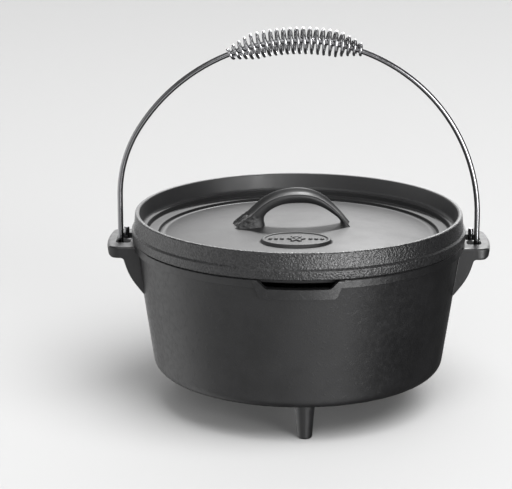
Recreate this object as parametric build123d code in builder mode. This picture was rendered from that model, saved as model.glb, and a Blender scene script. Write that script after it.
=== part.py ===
from build123d import *
from math import asin, atan2, cos, hypot, pi, radians, sin, sqrt
import os

# Cast iron camp oven on three legs: pot, flanged lid, wire bail and coil spring grip.
# Origin on the floor under the pot's axis; +X through the right ear, -Y the front, +Z up.

# ---------------------------------------------------------------- driving dimensions (mm)
# Pot casting
LEG_HEIGHT = 34.0
POT_HEIGHT = 127.5  # outside of the bottom to the rim the lid sits on
POT_TOP_RADIUS = 155.7  # outside of the wall at the rim
POT_BOTTOM_RADIUS = 137.5  # outside of the wall, run down to the bottom
POT_BOTTOM_FILLET = 12.0
WALL = 5.0
FLOOR = 5.5
RIM_BAND_PROUD = 1.5  # how far the rim band stands off the wall
RIM_BAND_HEIGHT = 7.5

# Pouring notch at the front, with a lip below it
NOTCH_WIDTH = 76.0  # at the rim
NOTCH_FLAT = 58.0  # along its floor
NOTCH_DEPTH = 8.0
NOTCH_CORNER = 5.0
LIP_HEIGHT = 9.0
LIP_PROUD = 2.6  # how far the lip stands off the wall at the rim
LIP_TAPER = 5.0  # how far each end of the lip slants inwards

# Legs
LEG_COUNT = 3
LEG_INSET = 22.5  # from the wall at the bottom to the middle of a leg
LEG_TOP_RADIUS = 9.6
LEG_FOOT_RADIUS = 6.6
LEG_FOOT_ROUNDING = 1.8
LEG_TURN = 3.4  # degrees that the front leg stands right of the notch

# Bail wire
BAIL_WIRE = 5.2
HOOK_GAP = 0.4  # between the hook's inside and the bar
HOOK_TURN_IN = 4.4  # how much nearer the pot the cut end stands
HOOK_PROUD = 9.0  # cut end above the ear's flat top
HOOK_CHAMFER = 0.5
SHOULDER_CENTRE_LEFT = 46.7  # each shoulder's centre, from the pot's axis
SHOULDER_CENTRE_RIGHT = 1.3
SHOULDER_RISE_LEFT = 48.6  # hinge line to where the left side starts to bend
SHOULDER_RISE_RIGHT = 29.9
CROWN_FLATTENING = 10.6  # how much the crown's radius is more than half the span

# Ears, one each side, with a slot for the hook and a bar across it
EAR_THICKNESS = 11.0
EAR_DROP = 3.2  # rim down to the ear's flat top
EAR_CORNER = 14.0
EAR_DRAFT = 1.5  # lean of the ear's outer end
EAR_TOP_ROUNDING = 3.0
EAR_UNDER_ROUNDING = 5.0
EAR_END = 9.3  # metal outside the slot
EAR_SIDE = 16.6  # metal at each end of the slot
EAR_FILLET = 1.2  # where an ear's sides run into the wall
SLOT_WALL = 1.8  # metal between the slot and the rim band
SLOT_PLAY_INNER = 2.7  # hook to the inner side of the slot
SLOT_PLAY_OUTER = 1.5
SLOT_PLAY_END = 0.6  # cut end to the end of the slot as the hook turns
SLOT_CORNER = 3.0
BAR_RADIUS = 4.8

# Gusset under each ear
GUSSET_STAND = 12.3  # off the rim's wall, just below the ear
GUSSET_DEPTH = 34.5  # underside of the ear to the gusset's foot
GUSSET_FOOT = 1.4  # how far its foot stands off the wall
GUSSET_BULGE = 4.2  # how far its elbow stands outside the straight line
GUSSET_BEND = 60.0  # radius of the elbow
GUSSET_HOLLOW = 3.5  # radius between the ear and the gusset
GUSSET_ROUNDING = 2.0

# Coil spring grip
GRIP_TURNS = 21.5
GRIP_PITCH = 5.85
GRIP_WIRE = 3.0
GRIP_RADIUS = 11.3  # to the middle of the wire
GRIP_END_GAP = 0.25  # the end turns close down to this clearance round the bail
GRIP_TAPER_TURNS = 4.0
GRIP_OFFSET = -4.0  # middle of the grip, left of the pot's axis
ARCS_PER_TURN = 4

# Lid casting, heights above the seat
LID_SEAT_GAP = 0.3
LID_OVERHANG = 1.1  # outside of the lid past the rim band
LID_HEIGHT = 24.6
LID_BAND_HEIGHT = 8.6
LID_STEP = 2.0  # the band's top slopes in and up by these
LID_STEP_RISE = 1.6
LID_LEAN = 1.3  # wall, from the band to the top of the rim
LID_RIM_WIDTH = 4.0
LID_RIM_FLARE = 2.0  # inside of the rim, from the upper ledge to the top
LEDGE_1_HEIGHT = 8.6
LEDGE_1_WIDTH = 5.6
LEDGE_2_HEIGHT = 4.2
LEDGE_2_WIDTH = 11.0
PLATE_EDGE_HEIGHT = 1.7
PLATE_RISE = 9.1  # how far the plate domes up at its middle
PLATE_THICKNESS = 5.0
SKIRT_GAP = 1.9
SKIRT_DEPTH = 5.0
SKIRT_WIDTH = 5.0

# Lid handle
HANDLE_CLEAR = 23.4  # finger room under the strap
HANDLE_THICKNESS = 9.6  # strap at its crown
HANDLE_LEFT = -60.0  # outer end of the left foot
HANDLE_RIGHT = 49.5  # outer end of the right foot
HANDLE_LEFT_FOOT = 26.5
HANDLE_RIGHT_FOOT = 9.2
HANDLE_WIDTH = 21.0
HANDLE_TURN = 3.5  # degrees, left foot towards the front
HANDLE_Y = 2.0
HANDLE_CROWN_X = -4.0
HANDLE_SINK = 4.0  # how deep its feet run into the plate
HANDLE_ROUNDING = 2.4  # along the top of the strap
HANDLE_UNDER_ROUNDING = 1.4  # along its underside
HANDLE_FOOT_FILLET = 2.5

# Medallion on the lid
MEDALLION_X = -2.0
MEDALLION_Y = -56.0
MEDALLION_WIDTH = 66.0
MEDALLION_DEPTH = 40.0
MEDALLION_RAISE = 1.8
MEDALLION_EDGE = 0.8
MEDALLION_BORDER = 2.6
MEDALLION_RELIEF = 1.2
ROSETTE_RADIUS = 6.0
ROSETTE_PETALS = 6
BEAD_START = 13.2  # from the middle to the first bead of a row
BEAD_STEP = 5.4
BEAD_COUNT = 3
BEAD_RADIUS = 2.0

# ---------------------------------------------------------------- derived places
POT_BOTTOM = LEG_HEIGHT
RIM_Z = POT_BOTTOM + POT_HEIGHT
TAPER = (POT_TOP_RADIUS - POT_BOTTOM_RADIUS) / POT_HEIGHT
RIM_BAND_RADIUS = POT_TOP_RADIUS + RIM_BAND_PROUD
LIP_RADIUS = POT_TOP_RADIUS + LIP_PROUD

EAR_TOP = RIM_Z - EAR_DROP
EAR_UNDER = EAR_TOP - EAR_THICKNESS
HINGE_Z = EAR_TOP - EAR_THICKNESS / 2
HOOK_RADIUS = BAR_RADIUS + HOOK_GAP + BAIL_WIRE / 2
HOOK_END = EAR_THICKNESS / 2 + HOOK_PROUD  # cut end above the hinge line
SLOT_INNER = RIM_BAND_RADIUS + SLOT_WALL
SLOT_OUTER = SLOT_INNER + SLOT_PLAY_INNER + HOOK_TURN_IN + BAIL_WIRE + SLOT_PLAY_OUTER
SLOT_HALF_WIDTH = hypot(HOOK_RADIUS + BAIL_WIRE / 2, HOOK_END) + SLOT_PLAY_END
EAR_REACH = SLOT_OUTER + EAR_END
EAR_WIDTH = 2 * (SLOT_HALF_WIDTH + EAR_SIDE)
BAIL_HALF_SPAN = SLOT_OUTER - SLOT_PLAY_OUTER - BAIL_WIRE / 2

LID_Z = RIM_Z + LID_SEAT_GAP
LID_TOP = LID_Z + LID_HEIGHT
LID_RADIUS = RIM_BAND_RADIUS + LID_OVERHANG
LEDGE_1_OUTER = LID_RADIUS - LID_STEP - LID_LEAN - LID_RIM_WIDTH - LID_RIM_FLARE
LEDGE_2_OUTER = LEDGE_1_OUTER - LEDGE_1_WIDTH
PLATE_RADIUS = LEDGE_2_OUTER - LEDGE_2_WIDTH
PLATE_EDGE_Z = LID_Z + PLATE_EDGE_HEIGHT
PLATE_Z = PLATE_EDGE_Z + PLATE_RISE
DOME_RADIUS = (PLATE_RADIUS**2 + PLATE_RISE**2) / (2 * PLATE_RISE)
DOME_CENTRE_Z = PLATE_Z - DOME_RADIUS


def wall_radius(z):
    """Outside of the pot wall at a height."""
    return POT_BOTTOM_RADIUS + TAPER * (z - POT_BOTTOM)


# ---------------------------------------------------------------- pot casting
with BuildPart() as pot_shell:
    with BuildSketch(Plane.XZ):
        with BuildLine():
            FilletPolyline(
                (0, POT_BOTTOM),
                (POT_BOTTOM_RADIUS, POT_BOTTOM),
                (POT_TOP_RADIUS, RIM_Z),
                radius=[POT_BOTTOM_FILLET],
            )
            Line((POT_TOP_RADIUS, RIM_Z), (POT_TOP_RADIUS - WALL, RIM_Z))
            FilletPolyline(
                (POT_TOP_RADIUS - WALL, RIM_Z),
                (POT_BOTTOM_RADIUS - WALL, POT_BOTTOM + FLOOR),
                (0, POT_BOTTOM + FLOOR),
                radius=[POT_BOTTOM_FILLET],
            )
            Line((0, POT_BOTTOM + FLOOR), (0, POT_BOTTOM))
        make_face()
    revolve(axis=Axis.Z)

with BuildPart() as rim_band:
    with BuildSketch(Plane.XZ):
        with BuildLine():
            FilletPolyline(
                (POT_TOP_RADIUS - WALL / 2, RIM_Z),
                (RIM_BAND_RADIUS, RIM_Z),
                (RIM_BAND_RADIUS, RIM_Z - RIM_BAND_HEIGHT),
                (POT_TOP_RADIUS - WALL / 2, RIM_Z - RIM_BAND_HEIGHT),
                radius=[1.0, 1.2, 0, 0],
                close=True,
            )
        make_face()
    revolve(axis=Axis.Z)

LIP_TOP = RIM_Z - NOTCH_DEPTH
LIP_HALF = NOTCH_WIDTH / 2 + RIM_BAND_HEIGHT / 2
with BuildPart() as front_lip:
    with BuildSketch(Plane.XZ.offset(POT_TOP_RADIUS - 3 * WALL)):
        with BuildLine():
            FilletPolyline(
                (-LIP_HALF, RIM_Z),
                (LIP_HALF, RIM_Z),
                (NOTCH_FLAT / 2 + LIP_TAPER, LIP_TOP - LIP_HEIGHT),
                (-NOTCH_FLAT / 2 - LIP_TAPER, LIP_TOP - LIP_HEIGHT),
                radius=[0, 0, NOTCH_CORNER, NOTCH_CORNER],
                close=True,
            )
        make_face()
    extrude(amount=4 * WALL)
    with BuildSketch(Plane.XZ):
        with BuildLine():
            FilletPolyline(
                (wall_radius(LIP_TOP) - WALL / 2, RIM_Z),
                (LIP_RADIUS, RIM_Z),
                (LIP_RADIUS, LIP_TOP - LIP_HEIGHT),
                (wall_radius(LIP_TOP) - WALL / 2, LIP_TOP - LIP_HEIGHT),
                radius=[1.4, 2.0, 0, 0],
                close=True,
            )
        make_face()
    revolve(axis=Axis.Z, mode=Mode.INTERSECT)

foot_z = EAR_UNDER - GUSSET_DEPTH
foot_radius = wall_radius(foot_z) + GUSSET_FOOT
gusset_reach = POT_TOP_RADIUS + GUSSET_STAND
ear_root = POT_TOP_RADIUS - 0.9 * WALL
with BuildPart() as ear:
    with BuildSketch(Plane.XZ):
        with BuildLine():
            FilletPolyline(
                (ear_root, EAR_TOP),
                (EAR_REACH, EAR_TOP),
                (EAR_REACH - EAR_DRAFT, EAR_UNDER),
                (gusset_reach, EAR_UNDER),
                ((gusset_reach + foot_radius) / 2 + GUSSET_BULGE, EAR_UNDER - GUSSET_DEPTH / 2),
                (foot_radius, foot_z),
                (wall_radius(foot_z) - 0.9 * WALL, foot_z),
                radius=[0, EAR_TOP_ROUNDING, EAR_UNDER_ROUNDING, GUSSET_HOLLOW, GUSSET_BEND, 0, 0],
                close=True,
            )
        make_face()
    revolve(axis=Axis.Z)
    with BuildSketch(Plane.XY.offset(foot_z)):
        with Locations((EAR_REACH / 2, 0)):
            RectangleRounded(EAR_REACH, EAR_WIDTH, EAR_CORNER)
    extrude(amount=EAR_TOP - foot_z, mode=Mode.INTERSECT)
    gusset_edges = ear.edges().filter_by(
        lambda e: abs(abs(e.center().Y) - EAR_WIDTH / 2) < 0.1
        and foot_z < e.center().Z < EAR_UNDER + 0.1
        and e.center().X > wall_radius(foot_z)
    )
    fillet(gusset_edges, GUSSET_ROUNDING)


def joins_wall(edge):
    """True for an edge where the side of an ear meets the outside of the pot's wall."""
    middle = edge.center()
    off_wall = hypot(middle.X, middle.Y) - wall_radius(middle.Z)
    return edge.geom_type != GeomType.CIRCLE and foot_z < middle.Z < EAR_TOP - 2 and abs(off_wall) < 0.8


with BuildPart() as pot:
    add(pot_shell.part)
    add(ear.part)
    mirror(ear.part, about=Plane.YZ)
    fillet(pot.edges().filter_by(joins_wall), EAR_FILLET)
    add(rim_band.part)
    add(front_lip.part)
    # Slot for the hook through each ear, with the bar it hangs on across the middle
    with BuildSketch(Plane.XY.offset(foot_z - 1)):
        with Locations(*[(side * (SLOT_INNER + SLOT_OUTER) / 2, 0) for side in (-1, 1)]):
            RectangleRounded(SLOT_OUTER - SLOT_INNER, 2 * SLOT_HALF_WIDTH, SLOT_CORNER)
    extrude(amount=EAR_TOP - foot_z + 2, mode=Mode.SUBTRACT)
    for side in (-1, 1):
        with BuildSketch(Plane.YZ.offset(side * (SLOT_INNER - 1.0))):
            with Locations((0, HINGE_Z)):
                Circle(BAR_RADIUS)
        extrude(amount=side * (SLOT_OUTER - SLOT_INNER + 3.0))
    # Hollow again, so that nothing added outside reaches in
    with BuildSketch(Plane.XZ):
        with BuildLine():
            FilletPolyline(
                (0, RIM_Z + 1),
                (POT_TOP_RADIUS - WALL + TAPER, RIM_Z + 1),
                (POT_BOTTOM_RADIUS - WALL, POT_BOTTOM + FLOOR),
                (0, POT_BOTTOM + FLOOR),
                radius=[0, POT_BOTTOM_FILLET, 0, 0],
                close=True,
            )
        make_face()
    revolve(axis=Axis.Z, mode=Mode.SUBTRACT)
    # Pouring notch
    with BuildSketch(Plane.XZ.offset(POT_TOP_RADIUS - 3 * WALL)):
        with BuildLine():
            FilletPolyline(
                (-NOTCH_WIDTH / 2, RIM_Z + 1),
                (NOTCH_WIDTH / 2, RIM_Z + 1),
                (NOTCH_FLAT / 2, LIP_TOP),
                (-NOTCH_FLAT / 2, LIP_TOP),
                radius=[0, 0, NOTCH_CORNER, NOTCH_CORNER],
                close=True,
            )
        make_face()
    extrude(amount=4 * WALL, mode=Mode.SUBTRACT)
    # Legs
    with PolarLocations(POT_BOTTOM_RADIUS - LEG_INSET, LEG_COUNT, start_angle=-90 + LEG_TURN):
        with Locations((0, 0, POT_BOTTOM / 2 + 1.0)):
            Cone(LEG_FOOT_RADIUS, LEG_TOP_RADIUS, POT_BOTTOM + 2.0)
    feet = pot.edges().filter_by(GeomType.CIRCLE).group_by(Axis.Z)[0]
    fillet(feet, LEG_FOOT_ROUNDING)
pot.part.label = "pot"

# ---------------------------------------------------------------- lid casting
rim_outer = LID_RADIUS - LID_STEP - LID_LEAN
skirt_outer = POT_TOP_RADIUS - WALL - SKIRT_GAP
skirt_inner = skirt_outer - SKIRT_WIDTH
dome_half = asin(PLATE_RADIUS / DOME_RADIUS) / 2
under_radius = DOME_RADIUS - PLATE_THICKNESS
under_reach = skirt_inner - 3.0
under_edge_z = DOME_CENTRE_Z + sqrt(under_radius**2 - under_reach**2)
under_half = asin(under_reach / under_radius) / 2

with BuildPart() as lid_plate:
    with BuildSketch(Plane.XZ):
        with BuildLine():
            ThreePointArc(
                (0, PLATE_Z),
                (DOME_RADIUS * sin(dome_half), DOME_CENTRE_Z + DOME_RADIUS * cos(dome_half)),
                (PLATE_RADIUS, PLATE_EDGE_Z),
            )
            FilletPolyline(
                (PLATE_RADIUS, PLATE_EDGE_Z),
                (PLATE_RADIUS + 0.6, LID_Z + LEDGE_2_HEIGHT),
                (LEDGE_2_OUTER, LID_Z + LEDGE_2_HEIGHT),
                (LEDGE_2_OUTER + 0.8, LID_Z + LEDGE_1_HEIGHT),
                (LEDGE_1_OUTER, LID_Z + LEDGE_1_HEIGHT),
                (rim_outer - LID_RIM_WIDTH, LID_TOP),
                (rim_outer, LID_TOP),
                (rim_outer + LID_LEAN, LID_Z + LID_BAND_HEIGHT + LID_STEP_RISE),
                (LID_RADIUS, LID_Z + LID_BAND_HEIGHT),
                (LID_RADIUS, LID_Z),
                (skirt_outer, LID_Z),
                (skirt_outer - 0.6, LID_Z - SKIRT_DEPTH),
                (skirt_inner, LID_Z - SKIRT_DEPTH),
                (under_reach, under_edge_z),
                radius=[1.2, 1.6, 1.6, 3.0, 1.5, 1.5, 1.0, 1.0, 1.6, 0.8, 1.2, 1.2],
            )
            ThreePointArc(
                (under_reach, under_edge_z),
                (under_radius * sin(under_half), DOME_CENTRE_Z + under_radius * cos(under_half)),
                (0, PLATE_Z - PLATE_THICKNESS),
            )
            Line((0, PLATE_Z - PLATE_THICKNESS), (0, PLATE_Z))
        make_face()
    revolve(axis=Axis.Z)

# Handle: a strap arched along X, thick left foot, slim right leg
HANDLE_RISE = HANDLE_CLEAR + HANDLE_THICKNESS
handle_under = PLATE_Z + HANDLE_CLEAR
foot_sink = PLATE_Z - HANDLE_SINK
left_inner = HANDLE_LEFT + HANDLE_LEFT_FOOT
right_inner = HANDLE_RIGHT - HANDLE_RIGHT_FOOT
handle_zone = 1.3 * max(-HANDLE_LEFT, HANDLE_RIGHT)  # nothing else meets the plate this near its middle
turn = radians(HANDLE_TURN)
handle_plane = Plane(
    origin=(0, HANDLE_Y, 0), x_dir=(cos(turn), sin(turn), 0), z_dir=(sin(turn), -cos(turn), 0)
)
with BuildPart() as handle:
    with BuildSketch(handle_plane.offset(-HANDLE_WIDTH / 2)):
        with BuildLine():
            Spline(
                (HANDLE_LEFT, foot_sink),
                (HANDLE_LEFT + 11, PLATE_Z + 0.27 * HANDLE_RISE),
                (HANDLE_LEFT + 26, PLATE_Z + 0.74 * HANDLE_RISE),
                (HANDLE_CROWN_X, PLATE_Z + HANDLE_RISE),
                (HANDLE_RIGHT - 21, PLATE_Z + 0.67 * HANDLE_RISE),
                (HANDLE_RIGHT, foot_sink),
            )
            FilletPolyline(
                (HANDLE_RIGHT, foot_sink),
                (right_inner, foot_sink),
                (right_inner, PLATE_Z + 0.32 * HANDLE_CLEAR),
                (HANDLE_CROWN_X + 19.0, handle_under),
                (HANDLE_CROWN_X - 7.0, handle_under),
                (left_inner + 4.6, PLATE_Z + 0.62 * HANDLE_CLEAR),
                (left_inner, PLATE_Z + 0.30 * HANDLE_CLEAR),
                (left_inner, foot_sink),
                (HANDLE_LEFT, foot_sink),
                radius=[0, 6.0, 16.0, 16.0, 12.0, 6.0, 0],
            )
        make_face()
    extrude(amount=HANDLE_WIDTH)
    sides = handle.faces().sort_by(Axis.Y)
    strap_edges = sides[0].edges() + sides[-1].edges()
    fillet(strap_edges.filter_by(lambda e: e.length > HANDLE_RIGHT - HANDLE_LEFT), HANDLE_ROUNDING)
    sides = handle.faces().sort_by(Axis.Y)
    strap_edges = sides[0].edges() + sides[-1].edges()
    under_edges = strap_edges.filter_by(
        lambda e: PLATE_Z < e.center().Z < handle_under + 0.1 and e.length < HANDLE_RIGHT - HANDLE_LEFT
    )
    fillet(under_edges, HANDLE_UNDER_ROUNDING)


def meets_plate(edge):
    """True for an edge where a foot of the handle meets the domed top of the plate."""
    points = [edge.position_at(t) for t in (0, 0.5, 1)]
    off_dome = [(p - Vector(0, 0, DOME_CENTRE_Z)).length - DOME_RADIUS for p in points]
    return max(abs(d) for d in off_dome) < 0.02 and hypot(points[1].X, points[1].Y) < handle_zone


# Medallion: a plain oval with a raised border and a small rosette between two rows of beads
medallion_plane = Plane(origin=(MEDALLION_X, MEDALLION_Y, PLATE_EDGE_Z))
with BuildPart() as medallion_disc:
    with BuildSketch(medallion_plane):
        Ellipse(MEDALLION_WIDTH / 2, MEDALLION_DEPTH / 2)
    extrude(amount=PLATE_RISE + 2 * MEDALLION_RAISE)
    with Locations((0, 0, DOME_CENTRE_Z)):
        Sphere(DOME_RADIUS + MEDALLION_RAISE, mode=Mode.INTERSECT)

with BuildPart() as medallion_relief:
    with BuildSketch(medallion_plane):
        Ellipse(MEDALLION_WIDTH / 2 - MEDALLION_EDGE, MEDALLION_DEPTH / 2 - MEDALLION_EDGE)
        Ellipse(
            MEDALLION_WIDTH / 2 - MEDALLION_BORDER,
            MEDALLION_DEPTH / 2 - MEDALLION_BORDER,
            mode=Mode.SUBTRACT,
        )
        Circle(0.43 * ROSETTE_RADIUS)
        with PolarLocations(ROSETTE_RADIUS, ROSETTE_PETALS):
            Ellipse(0.5 * ROSETTE_RADIUS, 0.32 * ROSETTE_RADIUS)
        beads = [side * (BEAD_START + BEAD_STEP * step) for side in (-1, 1) for step in range(BEAD_COUNT)]
        with Locations(*[(x, 0) for x in beads]):
            Circle(BEAD_RADIUS)
    extrude(amount=PLATE_RISE + 2 * MEDALLION_RAISE)
    with Locations((0, 0, DOME_CENTRE_Z)):
        Sphere(DOME_RADIUS + MEDALLION_RAISE + MEDALLION_RELIEF, mode=Mode.INTERSECT)

with BuildPart() as lid:
    add(lid_plate.part)
    add(handle.part)
    foot_edges = lid.edges().filter_by(meets_plate)
    fillet(foot_edges, HANDLE_FOOT_FILLET)
    add(medallion_disc.part)
    add(medallion_relief.part)
lid.part.label = "lid"


# ---------------------------------------------------------------- bail wire
def on_circle(centre, radius, angle):
    """Point of the bail's arch, in the plane just in front of the hinge line."""
    return centre[0] + radius * cos(angle), -HOOK_RADIUS, centre[1] + radius * sin(angle)


def tangent_crown(left, left_reach, right, right_reach):
    """Centre at the two given distances from the shoulders' centres, on their lower side."""
    span = hypot(right[0] - left[0], right[1] - left[1])
    along = (left_reach**2 - right_reach**2 + span**2) / (2 * span)
    off = sqrt(left_reach**2 - along**2)
    ux, uz = (right[0] - left[0]) / span, (right[1] - left[1]) / span
    return left[0] + along * ux + off * uz, left[1] + along * uz - off * ux


shoulder_radius_left = BAIL_HALF_SPAN - SHOULDER_CENTRE_LEFT
shoulder_radius_right = BAIL_HALF_SPAN - SHOULDER_CENTRE_RIGHT
crown_radius = BAIL_HALF_SPAN + CROWN_FLATTENING
shoulder_left = (-SHOULDER_CENTRE_LEFT, HINGE_Z + SHOULDER_RISE_LEFT)
shoulder_right = (SHOULDER_CENTRE_RIGHT, HINGE_Z + SHOULDER_RISE_RIGHT)
crown = tangent_crown(
    shoulder_left, crown_radius - shoulder_radius_left,
    shoulder_right, crown_radius - shoulder_radius_right,
)

join_left = atan2(shoulder_left[1] - crown[1], shoulder_left[0] - crown[0])
join_right = atan2(shoulder_right[1] - crown[1], shoulder_right[0] - crown[0])
hook_drop = hypot(HOOK_RADIUS, HOOK_TURN_IN / 2)


def hook_points(side):
    """Cut end, then the two ends of the hook's half circle with its lowest point between them."""
    inner = side * (BAIL_HALF_SPAN - HOOK_TURN_IN)
    outer = side * BAIL_HALF_SPAN
    return (
        (inner, HOOK_RADIUS, HINGE_Z + HOOK_END),
        (inner, HOOK_RADIUS, HINGE_Z),
        ((inner + outer) / 2, 0, HINGE_Z - hook_drop),
        (outer, -HOOK_RADIUS, HINGE_Z),
    )


with BuildPart() as bail:
    with BuildLine() as bail_path:
        cut_left, rear_left, low_left, front_left = hook_points(-1)
        Line(cut_left, rear_left)
        ThreePointArc(rear_left, low_left, front_left)
        Line(front_left, on_circle(shoulder_left, shoulder_radius_left, pi))
        ThreePointArc(
            on_circle(shoulder_left, shoulder_radius_left, pi),
            on_circle(shoulder_left, shoulder_radius_left, (pi + join_left) / 2),
            on_circle(shoulder_left, shoulder_radius_left, join_left),
        )
        ThreePointArc(
            on_circle(crown, crown_radius, join_left),
            on_circle(crown, crown_radius, (join_left + join_right) / 2),
            on_circle(crown, crown_radius, join_right),
        )
        ThreePointArc(
            on_circle(shoulder_right, shoulder_radius_right, join_right),
            on_circle(shoulder_right, shoulder_radius_right, join_right / 2),
            on_circle(shoulder_right, shoulder_radius_right, 0),
        )
        cut_right, rear_right, low_right, front_right = hook_points(1)
        Line(on_circle(shoulder_right, shoulder_radius_right, 0), front_right)
        ThreePointArc(front_right, low_right, rear_right)
        Line(rear_right, cut_right)
    with BuildSketch(Plane(origin=cut_left, z_dir=(0, 0, -1))):
        Circle(BAIL_WIRE / 2)
    sweep()
    cut_edges = bail.edges().filter_by(
        lambda e: abs(e.center().Z - HINGE_Z - HOOK_END) < 0.1 and e.center().Y > 0
    )
    chamfer(cut_edges, HOOK_CHAMFER)
bail.part.label = "bail"

# ---------------------------------------------------------------- coil spring grip
grip_end_radius = (BAIL_WIRE + GRIP_WIRE) / 2 + GRIP_END_GAP
grip_centre = asin((GRIP_OFFSET - crown[0]) / crown_radius)  # angle from upright


def grip_point(turn):
    """Middle of the coil's wire after a number of turns, wound round the bail's crown."""
    angle = grip_centre + (turn - GRIP_TURNS / 2) * GRIP_PITCH / crown_radius
    opened = min(turn, GRIP_TURNS - turn, GRIP_TAPER_TURNS) / GRIP_TAPER_TURNS
    radius = grip_end_radius + (GRIP_RADIUS - grip_end_radius) * opened
    out = crown_radius + radius * cos(2 * pi * turn)
    return (
        crown[0] + out * sin(angle),
        -HOOK_RADIUS - radius * sin(2 * pi * turn),
        crown[1] + out * cos(angle),
    )


with BuildPart() as grip_coil:
    with BuildLine():
        start_direction = Vector(*grip_point(0.001)) - Vector(*grip_point(0))
        first_arc = TangentArc(grip_point(0), grip_point(1 / ARCS_PER_TURN), tangent=start_direction)
        arc = first_arc
        for step in range(2, int(GRIP_TURNS * ARCS_PER_TURN) + 1):
            arc = TangentArc(arc @ 1, grip_point(step / ARCS_PER_TURN), tangent=arc % 1)
    with BuildSketch(Plane(origin=first_arc @ 0, z_dir=first_arc % 0)):
        Circle(GRIP_WIRE / 2)
    sweep()
grip_coil.part.label = "grip_coil"

# ---------------------------------------------------------------- write the pieces
os.makedirs("parts", exist_ok=True)
for piece in (pot, lid, bail, grip_coil):
    export_step(piece.part, f"parts/{piece.part.label}.step")
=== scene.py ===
# Cast iron camp oven with a flanged lid, wire bail and coil grip, standing on a pale studio floor.
from math import acos, atan2, cos, hypot, pi, radians, sin, sqrt, tan

import bmesh
import bpy
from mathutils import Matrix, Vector, noise as lumps


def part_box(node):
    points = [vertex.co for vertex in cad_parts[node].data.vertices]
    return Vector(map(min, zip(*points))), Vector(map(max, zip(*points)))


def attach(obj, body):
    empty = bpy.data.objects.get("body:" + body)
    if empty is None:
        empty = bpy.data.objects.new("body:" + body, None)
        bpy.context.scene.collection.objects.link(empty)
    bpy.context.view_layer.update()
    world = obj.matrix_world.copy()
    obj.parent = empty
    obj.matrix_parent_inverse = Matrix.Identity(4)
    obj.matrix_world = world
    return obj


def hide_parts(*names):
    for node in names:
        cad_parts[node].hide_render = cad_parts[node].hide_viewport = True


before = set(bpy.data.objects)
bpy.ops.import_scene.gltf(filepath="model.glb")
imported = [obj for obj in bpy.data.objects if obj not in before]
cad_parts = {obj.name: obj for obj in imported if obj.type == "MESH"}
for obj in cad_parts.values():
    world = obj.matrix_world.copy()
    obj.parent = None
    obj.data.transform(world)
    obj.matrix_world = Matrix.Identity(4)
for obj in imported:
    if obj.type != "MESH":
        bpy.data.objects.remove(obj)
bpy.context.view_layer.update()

MM = 0.001

# ---------------------------------------------------------------- the studio's light
KEY_FROM = (0.12, 1.0, 0.98)
KEY_STRENGTH = 2.1
KEY_SIZE = 7.0  # degrees across
WASH_PLACE = (2.2, -2.6, 6.4)
WASH_WATTS = 760.0
WASH_SIZE = 7.0  # metres across
ROOM_BASE = 0.06
WALL_SEEN = 0.80  # brightness of the backdrop where it is seen straight on
# Soft boxes and cards: direction, cosines of the edges of the full and the faded part, brightness
SOFT_BOXES = (
    ((-0.12, 1.0, 0.06), 0.99, 0.78, 1.35),  # lit backdrop
    ((0.0, 0.8, 0.6), 0.95, 0.66, 0.65),  # high, behind
    ((0.0, -0.55, 0.85), 0.9, 0.3, 0.12),  # high, in front
    ((0.0, -0.15, 1.0), 0.98, 0.90, 1.5),  # overhead
    ((-0.9, -0.08, -0.35), 0.90, 0.35, 1.0),  # paper on the left
    ((0.14, -0.70, -0.70), 0.95, 0.68, 0.95),  # paper in front
    ((-0.45, -0.45, -0.80), 0.95, 0.72, -0.6),  # dark patch of it, left of the leg
    ((0.58, -0.81, 0.04), 0.985, 0.925, 13.0),  # strip light, front right
    ((-0.95, 0.25, -0.02), 0.98, 0.88, 0.5),  # strip light, left
    ((-0.05, -0.85, 0.50), 0.985, 0.93, 2.4),  # small box in front, above
    ((0.34, 0.93, 0.12), 0.985, 0.92, 1.3),  # backdrop, far right
)


# ---------------------------------------------------------------- small helpers
def linear(hex_code):
    """sRGB hex colour as the linear values a shader works in, with full alpha."""
    parts = [int(hex_code[i:i + 2], 16) / 255 for i in (1, 3, 5)]
    return [c / 12.92 if c <= 0.04045 else ((c + 0.055) / 1.055) ** 2.4 for c in parts] + [1.0]


def add_node(tree, kind, inputs=None, **properties):
    """Adds one node with its properties; each input given a socket is linked, and the others take a value."""
    node = tree.nodes.new(kind)
    for name, value in properties.items():
        setattr(node, name, value)
    for name, value in (inputs or {}).items():
        if isinstance(value, bpy.types.NodeSocket):
            tree.links.new(value, node.inputs[name])
        else:
            node.inputs[name].default_value = value
    return node


def new_material(name):
    """A named material with an empty tree, and its Principled shader joined to its output."""
    material = bpy.data.materials.new(name)
    material.use_nodes = True
    tree = material.node_tree
    tree.nodes.clear()
    shader = add_node(tree, "ShaderNodeBsdfPrincipled")
    add_node(tree, "ShaderNodeOutputMaterial", {"Surface": shader.outputs["BSDF"]})
    return material, tree, shader


def per_metre(size_mm):
    """Texture scale at which one cell of a noise is this many millimetres wide."""
    return 1.0 / (size_mm * MM)


# ---------------------------------------------------------------- materials
NOISE = "ShaderNodeTexNoise"
RANGE = "ShaderNodeMapRange"
BLEND = "ShaderNodeMix"
RELIEF = "ShaderNodeBump"
MATHS = "ShaderNodeMath"
SOFT = "SMOOTHSTEP"  # a range whose two ends are eased


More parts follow.
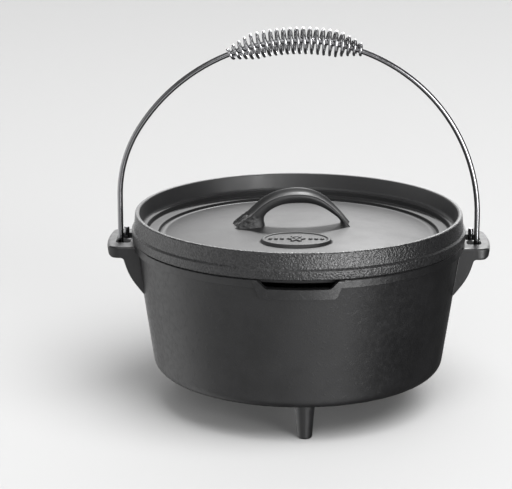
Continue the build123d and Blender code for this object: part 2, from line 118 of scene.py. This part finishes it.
def seasoned_cast_iron():
    """Sand-cast grey iron under baked-on oil: near black, half matt, finely pebbled, with a soft shine."""
    material, tree, shader = new_material("seasoned_cast_iron")
    place = add_node(tree, "ShaderNodeTexCoord").outputs["Object"]
    cloud = add_node(tree, NOISE, {"Vector": place, "Scale": per_metre(45.0),
                                   "Detail": 4.0, "Roughness": 0.6})
    # Moulding sand leaves grains about 0.5 mm across; they are drawn at 1.4 mm so that they show
    grit = add_node(tree, NOISE, {"Vector": place, "Scale": per_metre(1.4), "Detail": 3.0, "Roughness": 0.6})
    pocks = add_node(tree, NOISE, {"Vector": place, "Scale": per_metre(5.0), "Detail": 2.0, "Roughness": 0.5})
    oiled = add_node(tree, RANGE, {"Value": cloud.outputs["Fac"], "From Min": 0.35, "From Max": 0.65},
                     interpolation_type=SOFT)
    tone = add_node(tree, BLEND, {"Factor": oiled.outputs["Result"], "A": linear("#1b1b1c"),
                                  "B": linear("#232324")}, data_type="RGBA")
    matt = add_node(tree, RANGE, {"Value": pocks.outputs["Fac"], "From Min": 0.3, "From Max": 0.7,
                                  "To Min": 0.34, "To Max": 0.44}, interpolation_type=SOFT)
    skin = add_node(tree, RELIEF, {"Height": grit.outputs["Fac"], "Distance": 0.12 * MM, "Strength": 0.55})
    raised = add_node(tree, RANGE, {"Value": pocks.outputs["Fac"], "From Min": 0.55, "From Max": 0.8},
                      interpolation_type=SOFT)
    relief = add_node(tree, RELIEF, {"Height": raised.outputs["Result"], "Distance": 0.25 * MM,
                                     "Strength": 0.35, "Normal": skin.outputs["Normal"]})
    tree.links.new(tone.outputs["Result"], shader.inputs["Base Color"])
    tree.links.new(matt.outputs["Result"], shader.inputs["Roughness"])
    tree.links.new(relief.outputs["Normal"], shader.inputs["Normal"])
    shader.inputs["IOR"].default_value = 1.55
    return material


# Distances from the axis, in metres, between which one finish of the lid gives way to the next
OUTER_WALL = (0.1522, 0.1530)
PLATE_EDGE = (0.1310, 0.1330)
RISERS = ((0.1322, 0.1332), (0.1432, 0.1444))  # painted shade: the two steps up from the plate are coloured darker here, standing for the shade in their corners
RISER_FADE = 0.0006
RISER_MATT = 0.85  # roughness under the painted shade on the steps


def seasoned_lid_iron():
    """The same casting on the lid: a sandy outer wall, a rubbed satin plate and faint rings on the ledges."""
    material, tree, shader = new_material("seasoned_lid_iron")
    place = add_node(tree, "ShaderNodeTexCoord").outputs["Object"]
    parts = add_node(tree, "ShaderNodeSeparateXYZ", {"Vector": place}).outputs
    flat = add_node(tree, "ShaderNodeCombineXYZ", {"X": parts["X"], "Y": parts["Y"]}).outputs["Vector"]
    radius = add_node(tree, "ShaderNodeVectorMath", {"Vector": flat}, operation="LENGTH").outputs["Value"]
    lines = add_node(tree, "ShaderNodeCombineXYZ", {"X": radius}).outputs["Vector"]
    outer = add_node(tree, RANGE, {"Value": radius, "From Min": OUTER_WALL[0], "From Max": OUTER_WALL[1]},
                     interpolation_type=SOFT).outputs["Result"]
    ledges = add_node(tree, RANGE, {"Value": radius, "From Min": PLATE_EDGE[0], "From Max": PLATE_EDGE[1]},
                      interpolation_type=SOFT).outputs["Result"]
    cloud = add_node(tree, NOISE, {"Vector": place, "Scale": per_metre(30.0),
                                   "Detail": 4.0, "Roughness": 0.6})
    # The grains, the peel and the rings are all drawn two or three times as coarse as real ones, to show
    sand = add_node(tree, NOISE, {"Vector": place, "Scale": per_metre(1.9), "Detail": 2.0, "Roughness": 0.6})
    peel = add_node(tree, NOISE, {"Vector": place, "Scale": per_metre(1.6), "Detail": 2.0, "Roughness": 0.5})
    rings = add_node(tree, NOISE, {"Vector": lines, "Scale": per_metre(1.2), "Detail": 3.0, "Roughness": 0.7})

    # Colour: cloudy on the plate and the ledges, painted shade in the steps' corners, speckled on the outer
    # wall
    oiled = add_node(tree, RANGE, {"Value": cloud.outputs["Fac"], "From Min": 0.35, "From Max": 0.65},
                     interpolation_type=SOFT)
    plate_tone = add_node(tree, BLEND, {"Factor": oiled.outputs["Result"], "A": linear("#202021"),
                                        "B": linear("#2a2a2b")}, data_type="RGBA")
    tone = add_node(tree, BLEND, {"Factor": ledges, "A": plate_tone.outputs["Result"],
                                  "B": linear("#2c2c2d")}, data_type="RGBA")
    grains = add_node(tree, RANGE, {"Value": sand.outputs["Fac"], "From Min": 0.36, "From Max": 0.62},
                      interpolation_type=SOFT)
    speckle = add_node(tree, BLEND, {"Factor": grains.outputs["Result"], "A": linear("#19191a"),
                                     "B": linear("#303031")}, data_type="RGBA")
    # Gloss: satin, with the grains of the outer wall rubbed shinier than the pits between them
    satin = add_node(tree, RANGE, {"Value": cloud.outputs["Fac"], "From Min": 0.3, "From Max": 0.7,
                                   "To Min": 0.44, "To Max": 0.52}, interpolation_type=SOFT)
    rubbed = add_node(tree, RANGE, {"Value": sand.outputs["Fac"], "From Min": 0.36, "From Max": 0.62,
                                    "To Min": 0.40, "To Max": 0.28}, interpolation_type=SOFT)
    gloss = add_node(tree, BLEND, {"Factor": outer, "A": satin.outputs["Result"],
                                   "B": rubbed.outputs["Result"]}, data_type="FLOAT")
    # Painted shade: each step is coloured near black and made matt where shade falls in it
    for inner_edge, outer_edge in RISERS:
        past_inner = add_node(tree, RANGE, {"Value": radius, "From Min": inner_edge - RISER_FADE,
                                            "From Max": inner_edge}, interpolation_type=SOFT)
        past_outer = add_node(tree, RANGE, {"Value": radius, "From Min": outer_edge,
                                            "From Max": outer_edge + RISER_FADE}, interpolation_type=SOFT)
        painted_riser_shade = add_node(tree, MATHS, {0: past_inner.outputs["Result"], 1: past_outer.outputs["Result"]},
                         operation="SUBTRACT").outputs["Value"]
        tone = add_node(tree, BLEND, {"Factor": painted_riser_shade, "A": tone.outputs["Result"], "B": linear("#08080a")},
                        data_type="RGBA")
        gloss = add_node(tree, BLEND, {"Factor": painted_riser_shade, "A": gloss.outputs["Result"], "B": RISER_MATT},
                         data_type="FLOAT")
    colour = add_node(tree, BLEND, {"Factor": outer, "A": tone.outputs["Result"],
                                    "B": speckle.outputs["Result"]}, data_type="RGBA")
    # Relief: a fine orange peel, rings on the ledges, and coarse sand on the outer wall
    ringed = add_node(tree, RANGE, {"Value": ledges, "To Max": 0.35}, interpolation_type=SOFT)
    skin = add_node(tree, RELIEF, {"Height": peel.outputs["Fac"], "Distance": 0.10 * MM, "Strength": 0.5})
    turned = add_node(tree, RELIEF, {"Height": rings.outputs["Fac"], "Distance": 0.20 * MM,
                                     "Strength": ringed.outputs["Result"], "Normal": skin.outputs["Normal"]})
    coarse = add_node(tree, RELIEF, {"Height": sand.outputs["Fac"], "Distance": 0.75 * MM,
                                     "Strength": outer, "Normal": turned.outputs["Normal"]})
    tree.links.new(colour.outputs["Result"], shader.inputs["Base Color"])
    tree.links.new(gloss.outputs["Result"], shader.inputs["Roughness"])
    tree.links.new(coarse.outputs["Normal"], shader.inputs["Normal"])
    shader.inputs["IOR"].default_value = 1.6
    return material


def drawn_steel():
    """Bright drawn wire: a soft mirror, dulled a little in patches by handling."""
    material, tree, shader = new_material("bright_drawn_steel")
    place = add_node(tree, "ShaderNodeTexCoord").outputs["Object"]
    dull = add_node(tree, NOISE, {"Vector": place, "Scale": per_metre(4.0), "Detail": 3.0, "Roughness": 0.5})
    marks = add_node(tree, NOISE, {"Vector": place, "Scale": per_metre(0.8), "Detail": 2.0, "Roughness": 0.5})
    haze = add_node(tree, RANGE, {"Value": dull.outputs["Fac"], "From Min": 0.3, "From Max": 0.7,
                                  "To Min": 0.14, "To Max": 0.26}, interpolation_type=SOFT)
    relief = add_node(tree, RELIEF, {"Height": marks.outputs["Fac"], "Distance": 0.02 * MM, "Strength": 0.3})
    tree.links.new(haze.outputs["Result"], shader.inputs["Roughness"])
    tree.links.new(relief.outputs["Normal"], shader.inputs["Normal"])
    shader.inputs["Base Color"].default_value = linear("#8f8f91")
    shader.inputs["Metallic"].default_value = 1.0
    return material


def plated_spring_wire():
    """Nickel-plated spring wire: a sharp mirror that picks up the dark and the light of the room."""
    material, tree, shader = new_material("nickel_plated_spring_wire")
    place = add_node(tree, "ShaderNodeTexCoord").outputs["Object"]
    dull = add_node(tree, NOISE, {"Vector": place, "Scale": per_metre(2.5), "Detail": 3.0, "Roughness": 0.5})
    haze = add_node(tree, RANGE, {"Value": dull.outputs["Fac"], "From Min": 0.3, "From Max": 0.7,
                                  "To Min": 0.10, "To Max": 0.22}, interpolation_type=SOFT)
    tree.links.new(haze.outputs["Result"], shader.inputs["Roughness"])
    shader.inputs["Base Color"].default_value = linear("#a6a6a8")
    shader.inputs["Metallic"].default_value = 1.0
    return material


def studio_paper():
    """Matt white studio paper."""
    material, tree, shader = new_material("matt_white_paper")
    shader.inputs["Base Color"].default_value = linear("#bcbcbc")
    shader.inputs["Roughness"].default_value = 0.9
    shader.inputs["Specular IOR Level"].default_value = 0.2
    return material


# ---------------------------------------------------------------- camera
CAMERA_BACK = 1.897  # metres in front of the pot's axis
CAMERA_UP = 0.668
CAMERA_PITCH = 15.21  # degrees below level
CAMERA_PAN = 1.22  # degrees to the left
SENSOR_WIDTH = 36.0
LENS = 144.9
camera_data = bpy.data.cameras.new("camera")
camera_data.sensor_width = SENSOR_WIDTH
camera_data.lens = LENS
camera = bpy.data.objects.new("camera", camera_data)
camera.location = (0.0, -CAMERA_BACK, CAMERA_UP)
camera.rotation_euler = (radians(90 - CAMERA_PITCH), 0.0, radians(CAMERA_PAN))
bpy.context.scene.collection.objects.link(camera)
bpy.context.scene.camera = camera


# ---------------------------------------------------------------- CAD pieces and their finishes
finishes = {"pot": seasoned_cast_iron(), "bail": drawn_steel(), "grip_coil": plated_spring_wire()}
for piece, material in finishes.items():
    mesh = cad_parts[piece].data
    mesh.materials.clear()
    mesh.materials.append(material)


# ---------------------------------------------------------------- lid casting (mm)
lid_low, lid_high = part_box("lid")
SKIRT_DEPTH = 5.0
SEAT_Z = lid_low[2] / MM + SKIRT_DEPTH
LID_RADIUS = lid_high[0] / MM
LID_HEIGHT = 24.6  # this and the other heights are above the seat
BAND_HEIGHT = 8.6
BAND_STEP = 2.0  # the band's top slopes in by this and up by the next
BAND_STEP_RISE = 1.6
WALL_LEAN = 1.3  # how far the wall above the band leans in
RIM_WIDTH = 4.0
RIM_FLARE = 2.0
UPPER_LEDGE_HEIGHT = 8.6
UPPER_LEDGE_WIDTH = 5.6
LOWER_LEDGE_HEIGHT = 4.2
LOWER_LEDGE_WIDTH = 11.0
SKIRT_INSET = 9.5
SKIRT_WIDTH = 5.0
LID_TOP = SEAT_Z + LID_HEIGHT
RIM_OUTER = LID_RADIUS - BAND_STEP - WALL_LEAN
UPPER_LEDGE_OUTER = RIM_OUTER - RIM_WIDTH - RIM_FLARE
LOWER_LEDGE_OUTER = UPPER_LEDGE_OUTER - UPPER_LEDGE_WIDTH
PLATE_RADIUS = LOWER_LEDGE_OUTER - LOWER_LEDGE_WIDTH
PLATE_EDGE_HEIGHT = 1.7
PLATE_EDGE_Z = SEAT_Z + PLATE_EDGE_HEIGHT
PLATE_RISE = 9.1  # from the plate's edge to its middle
PLATE_TOP_Z = PLATE_EDGE_Z + PLATE_RISE
PLATE_THICKNESS = 5.0
DOME_RADIUS = (PLATE_RADIUS**2 + PLATE_RISE**2) / (2 * PLATE_RISE)
DOME_CENTRE_Z = PLATE_TOP_Z - DOME_RADIUS


def dome_z(x, y, off=0.0):
    """Height of the domed plate, or of a surface a distance off it."""
    return DOME_CENTRE_Z + sqrt((DOME_RADIUS + off)**2 - x * x - y * y)


ARC_STEPS = 6


def rounded(corners):
    """Points of a line through corners (x, z, radius), each corner turned into an arc."""
    points = []
    for index, (x, z, radius) in enumerate(corners):
        here = Vector((x, z))
        if radius == 0:
            points.append(here)
            continue
        before = (Vector(corners[index - 1][:2]) - here).normalized()
        after = (Vector(corners[index + 1][:2]) - here).normalized()
        half = acos(max(-1.0, min(1.0, before.dot(after)))) / 2
        centre = here + (before + after).normalized() * radius / sin(half)
        start = here + before * radius / tan(half) - centre
        end = here + after * radius / tan(half) - centre
        turn = atan2(start.x * end.y - start.y * end.x, start.dot(end))
        for step in range(ARC_STEPS + 1):
            angle = turn * step / ARC_STEPS
            points.append(centre + Vector((start.x * cos(angle) - start.y * sin(angle),
                                           start.x * sin(angle) + start.y * cos(angle))))
    return points


PLATE_STEPS = 20
UNDERSIDE_STEPS = 12
RISER_DRAFT = (0.6, 0.8)  # how far the lower and the upper step lean outwards
SKIRT_DRAFT = 0.6
UNDERSIDE_GAP = 3.0  # from the skirt to where the underside starts to dome


def lid_section():
    """Half section of the lid, from the middle of its top round the rim to the middle of its underside."""
    skirt = LID_RADIUS - SKIRT_INSET
    reach = skirt - SKIRT_WIDTH - UNDERSIDE_GAP
    edge = rounded([
        (PLATE_RADIUS, PLATE_EDGE_Z, 0),
        (PLATE_RADIUS + RISER_DRAFT[0], SEAT_Z + LOWER_LEDGE_HEIGHT, 1.2),
        (LOWER_LEDGE_OUTER, SEAT_Z + LOWER_LEDGE_HEIGHT, 1.6),
        (LOWER_LEDGE_OUTER + RISER_DRAFT[1], SEAT_Z + UPPER_LEDGE_HEIGHT, 1.6),
        (UPPER_LEDGE_OUTER, SEAT_Z + UPPER_LEDGE_HEIGHT, 3.0),
        (RIM_OUTER - RIM_WIDTH, LID_TOP, 1.5),
        (RIM_OUTER, LID_TOP, 1.5),
        (RIM_OUTER + WALL_LEAN, SEAT_Z + BAND_HEIGHT + BAND_STEP_RISE, 1.0),
        (LID_RADIUS, SEAT_Z + BAND_HEIGHT, 1.0),
        (LID_RADIUS, SEAT_Z, 1.6),
        (skirt, SEAT_Z, 0.8),
        (skirt - SKIRT_DRAFT, SEAT_Z - SKIRT_DEPTH, 1.2),
        (skirt - SKIRT_WIDTH, SEAT_Z - SKIRT_DEPTH, 1.2),
        (reach, dome_z(reach, 0, -PLATE_THICKNESS), 0),
    ])
    top_x = [PLATE_RADIUS * step / PLATE_STEPS for step in range(PLATE_STEPS)]
    below_x = [reach * step / UNDERSIDE_STEPS for step in range(UNDERSIDE_STEPS - 1, -1, -1)]
    top = [Vector((x, dome_z(x, 0))) for x in top_x]
    below = [Vector((x, dome_z(x, 0, -PLATE_THICKNESS))) for x in below_x]
    return top + edge + below


TRAY_FACETS = 240
ON_AXIS = 1e-6  # a point nearer the axis than this is on it


def turned_tray(mesh):
    """The lid without its handle: the half section turned about the axis."""
    turns = [2 * pi * k / TRAY_FACETS for k in range(TRAY_FACETS)]
    rings = []
    for point in lid_section():
        if point.x < ON_AXIS:
            rings.append([mesh.verts.new((0, 0, point.y))] * TRAY_FACETS)
        else:
            rings.append([mesh.verts.new((point.x * cos(turn), point.x * sin(turn), point.y))
                          for turn in turns])
    for inner, outer in zip(rings, rings[1:]):
        for k in range(TRAY_FACETS):
            after = (k + 1) % TRAY_FACETS
            corners = [inner[k], outer[k], outer[after], inner[after]]
            mesh.faces.new(list(dict.fromkeys(corners)))


# Stations along the handle, left foot to right: top and underside of the strap as (x, z above the middle
# of the plate), and its width
HANDLE_STATIONS = (
    ((-64.5, -5.0), (-31.0, -4.0), 29.0),
    ((-62.4, -1.4), (-32.3, 0.6), 26.0),
    ((-59.4, 2.2), (-33.2, 4.2), 23.5),
    ((-55.4, 5.8), (-32.8, 8.4), 22.0),
    ((-49.0, 8.8), (-30.2, 12.2), 21.2),
    ((-40.2, 18.6), (-25.6, 15.6), 21.0),
    ((-28.6, 27.0), (-19.5, 18.8), 21.0),
    ((-16.0, 31.6), (-11.5, 20.8), 21.0),
    ((-2.5, 33.3), (-1.0, 21.2), 21.0),
    ((9.5, 32.3), (9.5, 21.1), 21.0),
    ((20.5, 28.2), (18.0, 19.0), 20.6),
    ((30.0, 21.2), (25.6, 15.2), 20.0),
    ((38.0, 13.0), (33.6, 9.6), 19.6),
    ((43.8, 6.2), (38.6, 5.4), 19.8),
    ((46.8, 2.2), (40.2, 2.0), 20.8),
    ((49.6, -1.2), (40.2, -0.6), 22.5),
    ((51.5, -5.0), (39.2, -4.0), 25.0),
)
# The strap's section: across as a share of half its width, up as a share of its thickness. A low rounded
# ridge runs along its front edge and a higher one along its back edge, with a shallow valley between them.
STRAP_SECTION = ((0.0, 0.0), (-0.45, 0.0), (-0.74, 0.06), (-0.92, 0.26), (-1.0, 0.52), (-0.98, 0.72),
                 (-0.88, 0.83), (-0.70, 0.84), (-0.40, 0.72), (0.02, 0.68), (0.40, 0.78), (0.66, 0.99),
                 (0.84, 1.06), (0.97, 0.92), (1.0, 0.60), (0.93, 0.30), (0.74, 0.07), (0.45, 0.0))
VALLEY_FROM = 0.66  # the part of the section above this carries the ridges
VALLEY_LEVEL = 0.97  # where the top runs flat, at a foot
VALLEY_FADE = 4.0  # stations over which the ridges rise from a foot
RIGHT_FOOT_RIDGES = 0.3  # share of the ridges that reaches the end of the right foot
HANDLE_TURN = radians(3.5)
HANDLE_Y = 2.0


def cast_handle(mesh):
    """The strap handle: its section carried through its stations."""
    rings = []
    last = len(HANDLE_STATIONS) - 1
    for station, (top, under, width) in enumerate(HANDLE_STATIONS):
        ridges = min(1.0, station / VALLEY_FADE, RIGHT_FOOT_RIDGES + (last - station) / VALLEY_FADE)
        ring = []
        for across, up in STRAP_SECTION:
            if up > VALLEY_FROM:
                up = VALLEY_LEVEL + (up - VALLEY_LEVEL) * ridges
            x = under[0] + (top[0] - under[0]) * up
            z = under[1] + (top[1] - under[1]) * up
            y = across * width / 2
            ring.append(mesh.verts.new((x * cos(HANDLE_TURN) - y * sin(HANDLE_TURN),
                                        HANDLE_Y + x * sin(HANDLE_TURN) + y * cos(HANDLE_TURN),
                                        PLATE_TOP_Z + z)))
        rings.append(ring)
    count = len(STRAP_SECTION)
    for first, second in zip(rings, rings[1:]):
        for k in range(count):
            mesh.faces.new((first[k], first[(k + 1) % count], second[(k + 1) % count], second[k]))
    mesh.faces.new(rings[0][::-1])
    mesh.faces.new(rings[-1])


# Gate mark, where the metal was poured and broken off, at the left foot of the handle
GATE_END = -36.0
GATE_END_FADE = 8.0
GATE_TOP = 13.0  # above the middle of the plate
GATE_TOP_FADE = 5.0
GATE_LUMPS = ((3.4, 0.9), (1.4, 0.5))  # size and depth
GATE_SINK = 0.1


def roughen_gate(mesh):
    """Gives the gate mark its lumps."""
    mesh.normal_update()
    for vertex in mesh.verts:
        inside = min(1.0, max(0.0, (GATE_END - vertex.co.x) / GATE_END_FADE))
        low = min(1.0, max(0.0, (GATE_TOP - (vertex.co.z - PLATE_TOP_Z)) / GATE_TOP_FADE))
        if inside * low > 0:
            lump = sum(lumps.noise(vertex.co / size) * depth for size, depth in GATE_LUMPS) - GATE_SINK
            vertex.co += vertex.normal * lump * inside * low


# Medallion: a plain oval with a raised border and a small rosette between two rows of beads
MEDALLION = (-2.0, -56.0)
MEDALLION_HALF = (33.0, 20.0)
MEDALLION_RAISE = 1.8
MEDALLION_EDGE = (-0.4, 0.6)  # a slope runs between these distances inside its edge
MEDALLION_BORDER = 2.8
BORDER_EDGE = (0.2, 0.9)
BORDER_SLOPE = 0.8
BORDER_RAISE = 1.0
PATTERN_RAISE = 1.2
ROSETTE_RADIUS = 7.2
PETAL_LENGTH = 1.6
PETAL_SLOPE = (-1.2, 0.4)  # this slope and the beads' run between these distances past their outline
PETALS = 6
ROSETTE_RING = (2.2, 2.9, 3.4, 4.1)  # a groove round its middle: where it starts, is deep, ends
ROSETTE_GROOVE = 0.7
BEADS = (13.2, 18.6, 24.0)
BEAD_RADIUS = 2.0
BEAD_SLOPE = (-0.7, 0.3)
MEDALLION_FACETS = 200
MEDALLION_RINGS = 64
MEDALLION_SKIRT = 1.05  # the form runs out to this share of the oval, just under the plate
SKIRT_SINK = 0.6
UNDERSIDE_SINK = 2.0


def soft_step(value, start, end):
    """0 before start, 1 after end, smooth between."""
    t = min(1.0, max(0.0, (value - start) / (end - start)))
    return t * t * (3 - 2 * t)


def medallion_relief(x, y):
    """Height of the medallion over the plate."""
    inside = (1 - hypot(x / MEDALLION_HALF[0], y / MEDALLION_HALF[1])) * MEDALLION_HALF[1]
    in_border = 1 - soft_step(inside, MEDALLION_BORDER - BORDER_SLOPE, MEDALLION_BORDER)
    height = MEDALLION_RAISE * soft_step(inside, *MEDALLION_EDGE)
    height += BORDER_RAISE * soft_step(inside, *BORDER_EDGE) * in_border
    middle = hypot(x, y)
    petals = ROSETTE_RADIUS + PETAL_LENGTH * cos(PETALS * atan2(y, x))
    groove = soft_step(middle, *ROSETTE_RING[:2]) - soft_step(middle, *ROSETTE_RING[2:])
    rosette = 1 - soft_step(middle, petals + PETAL_SLOPE[0], petals + PETAL_SLOPE[1])
    pattern = rosette - ROSETTE_GROOVE * groove
    for bead in BEADS:
        from_bead = hypot(abs(x) - bead, y)
        raised = 1 - soft_step(from_bead, BEAD_RADIUS + BEAD_SLOPE[0], BEAD_RADIUS + BEAD_SLOPE[1])
        pattern = max(pattern, raised)
    return height + PATTERN_RAISE * pattern


def cast_medallion(mesh):
    """A closed form over the oval, raised by its relief, with its edge and underside just under the plate."""
    centre = mesh.verts.new((*MEDALLION, dome_z(*MEDALLION) + medallion_relief(0, 0)))
    before = [centre] * MEDALLION_FACETS
    for ring in range(1, MEDALLION_RINGS + 1):
        share = MEDALLION_SKIRT * ring / MEDALLION_RINGS
        sink = SKIRT_SINK if ring == MEDALLION_RINGS else 0.0
        here = []
        for k in range(MEDALLION_FACETS):
            x = MEDALLION_HALF[0] * share * cos(2 * pi * k / MEDALLION_FACETS)
            y = MEDALLION_HALF[1] * share * sin(2 * pi * k / MEDALLION_FACETS)
            on_lid = (MEDALLION[0] + x, MEDALLION[1] + y)
            here.append(mesh.verts.new((*on_lid, dome_z(*on_lid) + medallion_relief(x, y) - sink)))
        for k in range(MEDALLION_FACETS):
            after = (k + 1) % MEDALLION_FACETS
            corners = [before[k], here[k], here[after], before[after]]
            mesh.faces.new(list(dict.fromkeys(corners)))
        before = here
    underside = mesh.verts.new((*MEDALLION, dome_z(*MEDALLION) - UNDERSIDE_SINK))
    for k in range(MEDALLION_FACETS):
        mesh.faces.new((before[k], underside, before[(k + 1) % MEDALLION_FACETS]))


def finished_mesh(build):
    """One closed form of the lid, in millimetres, with its faces turned outwards."""
    mesh = bmesh.new()
    build(mesh)
    bmesh.ops.recalc_face_normals(mesh, faces=mesh.faces)
    data = bpy.data.meshes.new(build.__name__)
    mesh.to_mesh(data)
    mesh.free()
    return data


def subdivided(data, levels):
    """The mesh smoothed as a subdivision surface."""
    piece = bpy.data.objects.new("smoothing", data)
    bpy.context.scene.collection.objects.link(piece)
    modifier = piece.modifiers.new("smooth", "SUBSURF")
    modifier.levels = levels
    bpy.context.view_layer.update()
    smooth = bpy.data.meshes.new_from_object(piece.evaluated_get(bpy.context.evaluated_depsgraph_get()))
    bpy.data.objects.remove(piece)
    return smooth


HANDLE_SMOOTHING = 3
casting = bmesh.new()
casting.from_mesh(finished_mesh(turned_tray))
handle = bmesh.new()
handle.from_mesh(subdivided(finished_mesh(cast_handle), HANDLE_SMOOTHING))
roughen_gate(handle)
handle_mesh = bpy.data.meshes.new("handle")
handle.to_mesh(handle_mesh)
handle.free()
casting.from_mesh(handle_mesh)
casting.from_mesh(finished_mesh(cast_medallion))
for vertex in casting.verts:
    vertex.co *= MM  # to metres
for face in casting.faces:
    face.smooth = True
lid_mesh = bpy.data.meshes.new("lid_casting")
casting.to_mesh(lid_mesh)
casting.free()
lid_mesh.materials.append(seasoned_lid_iron())
lid = bpy.data.objects.new("lid_casting", lid_mesh)
bpy.context.scene.collection.objects.link(lid)
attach(lid, "lid")
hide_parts("lid")


# ---------------------------------------------------------------- studio
FLOOR_HALF = 12.0
floor_corners = [(x * FLOOR_HALF, y * FLOOR_HALF, 0.0) for x, y in ((-1, -1), (1, -1), (1, 1), (-1, 1))]
floor_mesh = bpy.data.meshes.new("studio_floor")
floor_mesh.from_pydata(floor_corners, [], [(0, 1, 2, 3)])
floor_mesh.materials.append(studio_paper())
floor = bpy.data.objects.new("studio_floor", floor_mesh)
bpy.context.scene.collection.objects.link(floor)
# The floor neither lights the iron nor shows in it; the papers among the soft boxes stand in for it
floor.visible_diffuse = False
floor.visible_glossy = False


def studio_light(kind, name, place, strength, floor_state):
    """A light aimed at the pot; floor_state says whether it lights only the floor or all but the floor."""
    data = bpy.data.lights.new(name, kind)
    data.energy = strength
    light = bpy.data.objects.new(name, data)
    light.location = place
    light.rotation_euler = (-Vector(place)).to_track_quat("-Z", "Y").to_euler()
    bpy.context.scene.collection.objects.link(light)
    lit = bpy.data.collections.new(name + "_floor")
    lit.objects.link(floor)
    light.light_linking.receiver_collection = lit
    lit.collection_objects[0].light_linking.link_state = floor_state
    return data


key = studio_light("SUN", "key_behind", KEY_FROM, KEY_STRENGTH, "EXCLUDE")
key.angle = radians(KEY_SIZE)
wash = studio_light("AREA", "wash_over_floor", WASH_PLACE, WASH_WATTS, "INCLUDE")
wash.shape = "DISK"
wash.size = WASH_SIZE

# The room's light: a base, and the soft boxes on it
world = bpy.data.worlds.new("studio_room")
world.use_nodes = True
tree = world.node_tree
tree.nodes.clear()
towards = add_node(tree, "ShaderNodeTexCoord").outputs["Generated"]
light = ROOM_BASE
for direction, inner, outer, brightness in SOFT_BOXES:
    facing = add_node(tree, "ShaderNodeVectorMath", {0: towards, 1: Vector(direction).normalized()},
                      operation="DOT_PRODUCT")
    box = add_node(tree, RANGE, {"Value": facing.outputs["Value"], "From Min": outer, "From Max": inner,
                                 "To Max": brightness}, interpolation_type=SOFT)
    light = add_node(tree, MATHS, {0: light, 1: box.outputs["Result"]}, operation="ADD").outputs["Value"]
seen = add_node(tree, "ShaderNodeLightPath").outputs["Is Camera Ray"]
shown = add_node(tree, BLEND, {"Factor": seen, "A": light, "B": WALL_SEEN}, data_type="FLOAT")
glow = add_node(tree, "ShaderNodeBackground", {"Color": (1, 1, 1, 1), "Strength": shown.outputs["Result"]})
add_node(tree, "ShaderNodeOutputWorld", {"Surface": glow.outputs["Background"]})
bpy.context.scene.world = world
bpy.context.scene.view_settings.view_transform = "Standard"
